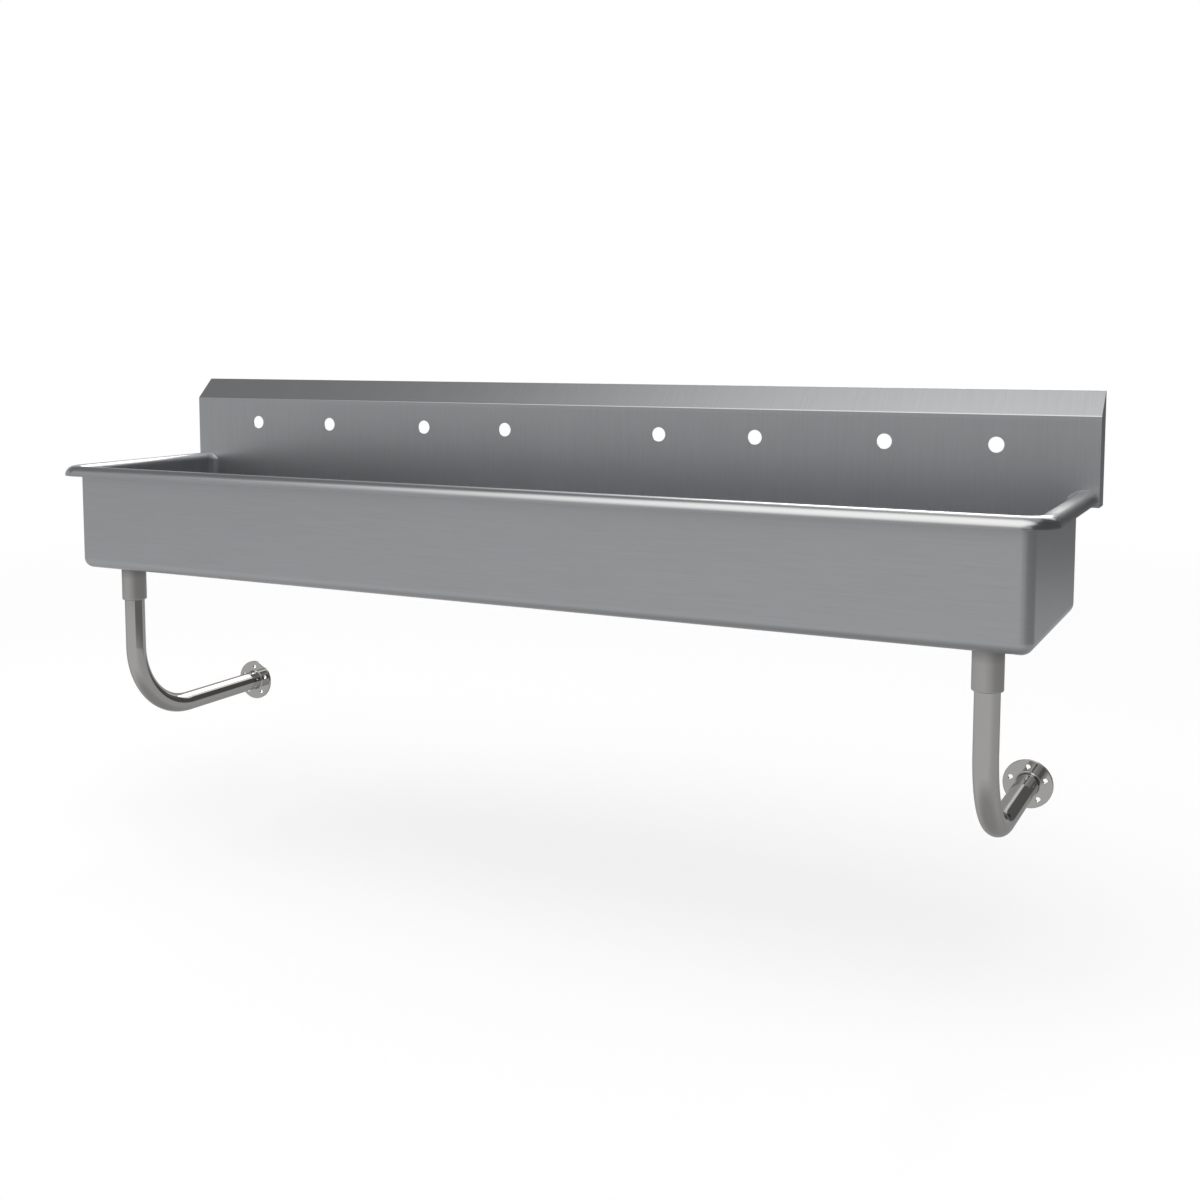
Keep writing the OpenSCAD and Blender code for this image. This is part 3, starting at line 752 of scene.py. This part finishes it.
def makeLeg(word):
    ending = word.lower()
    low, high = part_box("leg_tube_" + ending)
    flangeLow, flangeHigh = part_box("wall_flange_" + ending)
    radius = (high.x - low.x) / 2
    legX, legY, flangeZ = (high.x + low.x) / 2, low.y + radius, (flangeLow.z + flangeHigh.z) / 2
    path = [(legX, legY, high.z), (legX, legY, flangeZ), (legX, high.y, flangeZ)]
    mesh = runTree("legTube" + word, bentTube, path, False, radius=radius, bend=leg["bend"],
                   bendSteps=leg["bendSteps"], round=leg["round"])
    finishPiece("legTube" + word, mesh, ending + "_leg", tubeSteel, "leg_tube_" + ending)
    socketRadius = makeSocket(word, ending, Vector((legX, legY, 0)), radius)
    makePad(word, ending, Vector((legX, legY, 0)), socketRadius)
    makeFlange(word, ending, Vector((legX, 0, flangeZ)), radius)


makeLeg("Left")
makeLeg("Right")
print("legs made")


# drain and strainer

drain = {
    "steps": 96, "waterway": 0.0205, "shank": 0.0252, "shankLength": 0.020, "tail": 0.02413,
    "flangeFlat": (0.033, 0.0365),    # the flange's flat top lies between these radii
    "dish": (0.026, 0.0008),          # radius and height over the floor where it dips to the waterway
    "seat": (0.0308, 0.0022, 0.014),  # the cross under the basket: depth, thickness, radius of its opening
    "overlap": 0.0002,                # how far its ring runs into the waterway's wall
    "bar": (0.0015, 0.0005, 0.0001),  # its bars: half width, how far they stop short of wall and faces
    "barEdges": (0.0008, 0.0003),     # rounding of its inner corners and of its edges
    "ridge": (0.0006, 0.0007),        # height of the threads on the shank and the tail
    "shankEnds": (0.0006, 0.0020),    # its thread starts this far over the shoulder and ends in the nut
    "tailEnds": (0.0012, 0.0008),     # this one stays this far from the tail's end and the shoulder
    "turnsPerMetre": 452.0,
    "slack": 0.00005,                 # round the shank
    "gasketEdge": 0.0006, "washerEdge": 0.0002,
    "chamfer": (0.0003, 1.7, 16),     # the locknut's corners: start past the flats, steepness, steps
}
strainer = {"steps": 64, "postEdges": (0.0001, 0.0001), "stopperEdges": (0.0012, 0.0005),
            "knobEdges": (0.0003, 0.0004)}
screwThread = threadTree()
drainCentre = Vector((0, drainY, 0))


def makeDrainBody():
    low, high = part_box("drain_body")
    wide, water, steps = (high.x - low.x) / 2, drain["waterway"], drain["steps"]
    shankLow, dishZ = floorZ - drain["shankLength"], floorZ + drain["dish"][1]
    flatIn, flatOut = drain["flangeFlat"]
    shankCut, tailCut = drain["ridge"]
    shank, tail = drain["shank"] - shankCut, drain["tail"] - tailCut
    sheet = newSheet()
    turnedSheet(sheet, [(water, low.z, 0.0004), (tail, low.z, 0.0008), (tail, shankLow, 0),
                        (shank, shankLow, 0.0005), (shank, floorZ, 0), (wide, floorZ, 0.0002),
                        (flatOut, high.z, 0.0025), (flatIn, high.z, 0.0012),
                        (drain["dish"][0], dishZ, 0.0015), (water, dishZ, 0.0005)], drainCentre, steps)

    # the seat: a ring with a cross of four bars
    seatDepth, seatThick, seatHole = drain["seat"]
    seatTop, seatLow = floorZ - seatDepth, floorZ - seatDepth - seatThick
    ringOut = water + drain["overlap"]
    turnedSheet(sheet, [(seatHole, seatLow, 0.0004), (ringOut, seatLow, 0), (ringOut, seatTop, 0),
                        (seatHole, seatTop, 0.0006)], drainCentre, steps)
    half, short, sunk = drain["bar"]
    corner, edge = drain["barEdges"]
    quarter = [(water - short, -half, 0), (water - short, half, 0), (half, half, corner)]
    plan = []
    for k in range(4):
        for a, b, rounding in quarter:
            spot = Matrix.Rotation(math.pi / 2 * k, 2) @ Vector((a, b))
            plan.append((spot.x, spot.y, rounding))
    plate(sheet, roundedOutline(plan, steps=4), drainCentre, seatLow + sunk, seatTop - sunk, edge)
    finishSheet("drainBody", sheet, "sink", socketSteel, "drain_body")

    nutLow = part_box("drain_locknut")[0].z
    shankStart, shankEnd = drain["shankEnds"]
    tailStart, tailEnd = drain["tailEnds"]
    for name, radius, cut, start, end in (
            ("shankThread", shank, shankCut, shankLow + shankStart, nutLow + shankEnd),
            ("tailThread", tail, tailCut, low.z + tailStart, shankLow - tailEnd)):
        mesh = runTree(name, screwThread, [(0, 0, 0)], False, radius=radius, ridge=cut, length=end - start,
                       turns=drain["turnsPerMetre"] * (end - start), place=(0, drainY, start))
        finishPiece(name, mesh, "sink", socketSteel)


def makeDrainRing(name, node, material, edge):
    low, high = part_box(node)
    wide, bore = (high.x - low.x) / 2, drain["shank"] + drain["slack"]
    sheet = newSheet()
    corners = [(bore, low.z, edge), (wide, low.z, edge), (wide, high.z, edge), (bore, high.z, edge)]
    turnedSheet(sheet, corners, drainCentre, drain["steps"])
    finishSheet(name, sheet, "sink", material, node)


def makeLocknut():
    # six flats whose corners are turned off at both ends
    low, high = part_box("drain_locknut")
    flat, bore = (high.x - low.x) / 2 * math.cos(math.pi / 6), drain["shank"] + drain["slack"]
    margin, steepness, along = drain["chamfer"]
    start = flat + margin
    sheet = newSheet()
    ends = {low.z: [], high.z: []}
    for k in range(6):
        facing = Matrix.Rotation(math.radians(60 * k + 30), 3, "Z") @ right
        columns = []
        for i in range(along + 1):
            angle = math.radians(60 * (k + i / along))
            out = Vector((math.cos(angle), math.sin(angle), 0))
            reach = flat / out.dot(facing)
            turned = max(0.0, (reach - start) / steepness)
            columns.append((out, drainCentre + out * min(reach, start), drainCentre + out * reach, turned))
        for (outA, innerA, outerA, dropA), (outB, innerB, outerB, dropB) in zip(columns, columns[1:]):
            flatFace = (outerA + up * (low.z + dropA), outerB + up * (low.z + dropB),
                        outerB + up * (high.z - dropB), outerA + up * (high.z - dropA))
            addFace(sheet, [(spot, facing, (0, 0)) for spot in flatFace])
            for z, way in ((low.z, 1), (high.z, -1)):
                leanA, leanB = outA - up * way * steepness, outB - up * way * steepness
                addFace(sheet, [(innerA + up * z, leanA, (0, 0)), (innerB + up * z, leanB, (0, 0)),
                                (outerB + up * (z + way * dropB), leanB, (0, 0)),
                                (outerA + up * (z + way * dropA), leanA, (0, 0))])
                ends[z].append(innerA + up * z)
    for z, facing in ((low.z, -up), (high.z, up)):
        inside = ringLoop(drainCentre + up * z, up, right, bore, drain["steps"])
        fillFlat(sheet, [ends[z], inside], facing, lambda p: (p.x, p.y))
    boreWall = [(bore, high.z, Vector((-1, 0)), 0), (bore, low.z, Vector((-1, 0)), high.z - low.z)]
    sweep(sheet, boreWall, turnStations(drainCentre, up, right, bore, drain["steps"]))
    finishSheet("drainLocknut", sheet, "sink", socketSteel, "drain_locknut")


def makeStopperPiece(name, node, material, lowEdge, highEdge):
    low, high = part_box(node)
    wide, sheet = (high.x - low.x) / 2, newSheet()
    turnedSheet(sheet, [(0, low.z, 0), (wide, low.z, lowEdge), (wide, high.z, highEdge), (0, high.z, 0)],
                drainCentre, strainer["steps"], False)
    finishSheet(name, sheet, "stopper", material, node)


def makeKnob():
    low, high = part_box("strainer_knob")
    wide, tall, sheet = (high.x - low.x) / 2, high.z - low.z, newSheet()
    lowEdge, sideEdge = strainer["knobEdges"]
    turnedSheet(sheet, [(0, low.z, 0), (wide - tall / 4, low.z, lowEdge), (wide, low.z + tall / 4, sideEdge),
                        (wide, high.z, tall / 4), (0, high.z, 0)], drainCentre, strainer["steps"], False)
    finishSheet("strainerKnob", sheet, "stopper", tubeSteel, "strainer_knob")


makeDrainBody()
makeDrainRing("drainGasket", "drain_gasket", rubber, drain["gasketEdge"])
makeDrainRing("drainWasher", "drain_washer", sheetSteel, drain["washerEdge"])
makeLocknut()
makeStopperPiece("strainerPost", "strainer_post", tubeSteel, *strainer["postEdges"])
makeStopperPiece("strainerStopper", "strainer_stopper", rubber, *strainer["stopperEdges"])
makeKnob()
print("drain made")


# wall cleat

cleat = {"edge": 0.0004, "bend": (0.001, 0.0015), "thick": 0.003, "steps": 6,
         "margin": 0.001,  # the flat part's outline starts this far from its bends
         "pitch": 0.4064, "hole": 0.0035, "holeEdge": 0.0004, "holeSteps": 32}


def makeCleat():
    low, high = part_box("wall_cleat")
    thick, edge = cleat["thick"], cleat["edge"]
    inner, outer = cleat["bend"]
    out, back = -low.y, -low.y - thick
    webTop = -low.z + thick  # the foot is as high above the screws as below them
    stop, start = -low.z - inner - cleat["margin"], low.z + cleat["margin"]
    upper = roundedOutline([(thick, stop, 0), (thick, -low.z, inner), (out, -low.z, outer),
                            (out, high.z, edge), (back, high.z, edge), (back, webTop, inner),
                            (0, webTop, outer), (0, stop, 0)],
                           closed=False, steps=cleat["steps"])
    lower = roundedOutline([(0, start, 0), (0, low.z, edge), (thick, low.z, edge), (thick, start, 0)],
                           closed=False, steps=cleat["steps"])
    sheet = newSheet()
    for outline in (upper, lower):
        sweep(sheet, outline, [(Vector((x, 0, 0)), front, up, x) for x in (low.x, high.x)])
    near, far = ([Vector((x, y, z)) for x, z in ((low.x, start), (high.x, start), (high.x, stop),
                                                 (low.x, stop))] for y in (-thick, 0))
    spots = [Vector((cleat["pitch"] * k, -thick, 0)) for k in (-1.5, -0.5, 0.5, 1.5)]
    boredPlate(sheet, [near], [far], spots, front, thick, cleat, lambda p: (p.x, p.z))
    for x, facing in ((low.x, -right), (high.x, right)):
        capEnd(sheet, upper + lower, (Vector((x, 0, 0)), front, up), facing)
    finishSheet("wallCleat", sheet, "wall_cleat", sheetSteel, "wall_cleat")


makeCleat()
print("cleat made")


# the solids that stay as they are

for node, material in (("socket_screw_left", oxideSteel), ("socket_screw_right", oxideSteel),
                       ("strainer_basket", socketSteel)):
    for place in cadNodes[node].material_slots:
        place.material = material


# studio

studio = {
    "plain": 0.80,  # what matt surfaces get from the room
    "room": 0.42,   # what metal sees where nothing else is said; each light below lies over those before it
    "ground": [     # patches: direction, full inside and none outside these angles, level
        ((0.0, 0.0, -1.0), 79, 81, 0.52),
        ((0.75, 0.45, -0.45), 20, 85, 0.40),
        ((0.0, 0.0, -1.0), 10, 55, 0.30),
    ],
    "panels": [     # azimuth from the wall side, half width, lowest and highest elevation, softness, level
        (75, 71, -8.5, 58, 2, 0.085),
        (160, 16, -8.5, 8, 3, 0.20),
        (90, 46, -12, 0, 1, 0.155),
        (12, 9, -8.5, 22, 1.5, 0.13),
        (9, 5, -1, 8, 1.5, 0.05),
        (-24, 27, -9, 22, 2, 0.44),
        (-0.5, 4.5, 9, 24, 1.5, 0.80),
        (-52, 9, -9, 17, 4, 0.54),
        (-8, 30, 50, 68, 8, 0.90),
        (-3, 33, 25, 50, 3, 1.05),
        (-8, 18, 27, 48, 3, 4.2),
        (1, 5, 23, 35, 2, 9.0),
        (-80, 34, 20, 66, 8, 0.20),
    ],
    "ceiling": [    # patches too
        ((0.287, -0.497, 0.819), 6, 24, 1.15),
        ((-0.12, -0.73, 0.67), 4, 33, 1.32),
        ((-0.129, -0.483, 0.866), 7, 36, 1.43),
    ],
    "warm": (1.025, 1.0, 0.96, 1.0),  # colour of the brighter lights as metal sees them
    "warmFrom": (0.55, 1.2),          # levels between which it comes in
}


def makeWorld():
    world = bpy.data.worlds.new("studio")
    bpy.context.scene.world = world
    world.use_nodes = True
    tree = world.node_tree
    tree.nodes.clear()
    toward = put(tree, "ShaderNodeTexCoord").outputs["Generated"]
    split = put(tree, "ShaderNodeSeparateXYZ", {0: toward}).outputs
    azimuth = worked(tree, "DEGREES", worked(tree, "ARCTAN2", split["X"], split["Y"]))
    height = worked(tree, "DEGREES", worked(tree, "ARCSINE", split["Z"]))

    def layer(seen, share, level):
        return put(tree, "ShaderNodeMix", {0: share, 2: seen, 3: level}, data_type="FLOAT").outputs[0]

    def patch(seen, axis, inner, outer, level):
        closeness = put(tree, "ShaderNodeVectorMath", {0: toward, 1: Vector(axis).normalized()},
                        operation="DOT_PRODUCT").outputs["Value"]
        none, full = math.cos(math.radians(outer)), math.cos(math.radians(inner))
        return layer(seen, eased(tree, closeness, none, full), level)

    def panel(seen, middle, half, lowest, highest, soft, level):
        off = worked(tree, "WRAP", worked(tree, "SUBTRACT", azimuth, middle), 180.0, -180.0)
        share = eased(tree, worked(tree, "ABSOLUTE", off), half + soft, half - soft)
        share = worked(tree, "MULTIPLY", share, eased(tree, height, lowest - soft, lowest + soft))
        share = worked(tree, "MULTIPLY", share, eased(tree, height, highest + soft, highest - soft))
        return layer(seen, share, level)

    seen = studio["room"]
    for settings in studio["ground"]:
        seen = patch(seen, *settings)
    for settings in studio["panels"]:
        seen = panel(seen, *settings)
    for settings in studio["ceiling"]:
        seen = patch(seen, *settings)
    rays = put(tree, "ShaderNodeLightPath").outputs
    matt = layer(seen, rays["Is Diffuse Ray"], studio["plain"])
    strength = layer(matt, rays["Is Camera Ray"], 1.0)
    warmth = worked(tree, "MULTIPLY", eased(tree, seen, *studio["warmFrom"]), rays["Is Glossy Ray"])
    shade = put(tree, "ShaderNodeMix", {0: warmth, 6: (1, 1, 1, 1), 7: studio["warm"]},
                data_type="RGBA").outputs[2]
    sky = put(tree, "ShaderNodeBackground", {"Color": shade, "Strength": strength})
    put(tree, "ShaderNodeOutputWorld", {0: sky.outputs[0]})


floorLook = {
    "height": -0.995,     # under the part's zero: the rim stands 0.866 m above the floor
    "half": 30.0,
    "matt": (0.55, 0.55, 0.55, 1),
    "glow": 0.46,         # makes it pale without more light on the sink
    "white": (2.5, 7.0),  # between these distances it fades to plain white
}


def makeFloor():
    half, height = floorLook["half"], floorLook["height"]
    mesh = bpy.data.meshes.new("floor")
    mesh.from_pydata([(-half, -half, height), (half, -half, height), (half, half, height),
                      (-half, half, height)], [], [(0, 1, 2, 3)])
    floor = addObject("floor", mesh)
    made, tree, shader, place = newMaterial("floor")
    tree.nodes.remove(shader)
    rays = put(tree, "ShaderNodeLightPath").outputs
    matt = put(tree, "ShaderNodeBsdfDiffuse", {"Color": floorLook["matt"]}).outputs[0]
    glow = put(tree, "ShaderNodeEmission", {"Strength": floorLook["glow"]}).outputs[0]
    pale = put(tree, "ShaderNodeAddShader", {0: matt, 1: glow}).outputs[0]
    white = put(tree, "ShaderNodeEmission", {"Strength": 1.0}).outputs[0]
    away = put(tree, "ShaderNodeVectorMath", {0: place}, operation="LENGTH").outputs["Value"]
    fade = worked(tree, "MULTIPLY", eased(tree, away, *floorLook["white"]), rays["Is Camera Ray"])
    above = put(tree, "ShaderNodeMixShader", {0: fade, 1: pale, 2: white}).outputs[0]
    below = put(tree, "ShaderNodeNewGeometry").outputs["Backfacing"]
    clear = put(tree, "ShaderNodeBsdfTransparent").outputs[0]  # it can be looked through from below
    surface = put(tree, "ShaderNodeMixShader", {0: below, 1: above, 2: clear}).outputs[0]
    tree.links.new(surface, tree.nodes["Material Output"].inputs[0])
    mesh.materials.append(made)
    floor.visible_glossy = False  # the metal sees the room's own ground instead


lamps = {
    "aim": (0, -0.25, -0.3),
    "keyLamp": {"place": (0.6, -1.6, 2.6), "size": 2.6, "power": 26.0},
    "fillLamp": {"place": (-2.4, -1.8, 1.6), "size": 2.0, "power": 10.4},
}


def makeLamp(name):
    settings = lamps[name]
    light = bpy.data.lights.new(name, "AREA")
    light.shape, light.size, light.energy = "DISK", settings["size"], settings["power"]
    lamp = addObject(name, light)
    place = Vector(settings["place"])
    turn = (place - Vector(lamps["aim"])).to_track_quat("Z", "Y")
    lamp.matrix_world = Matrix.Translation(place) @ turn.to_matrix().to_4x4()
    lamp.visible_glossy = False
    lamp.visible_camera = False


view = {"place": (1.35553, -2.67584, 0.12415), "turn": 0.47867, "tip": 0.09156, "roll": -0.00056,
        "lens": 43.24, "sensor": 36.0, "shift": (0.02004, -0.10233), "reach": 100.0}


def makeCamera():
    lens = bpy.data.cameras.new("camera")
    lens.lens, lens.sensor_width = view["lens"], view["sensor"]
    lens.shift_x, lens.shift_y = view["shift"]
    lens.clip_end = view["reach"]
    camera = addObject("camera", lens)
    camera.matrix_world = (Matrix.Translation(view["place"]) @ Matrix.Rotation(view["turn"], 4, "Z")
                           @ Matrix.Rotation(math.pi / 2 - view["tip"], 4, "X")
                           @ Matrix.Rotation(view["roll"], 4, "Z"))
    bpy.context.scene.camera = camera


makeWorld()
makeFloor()
makeLamp("keyLamp")
makeLamp("fillLamp")
makeCamera()
bpy.context.scene.view_settings.view_transform = "Standard"
print("studio made")
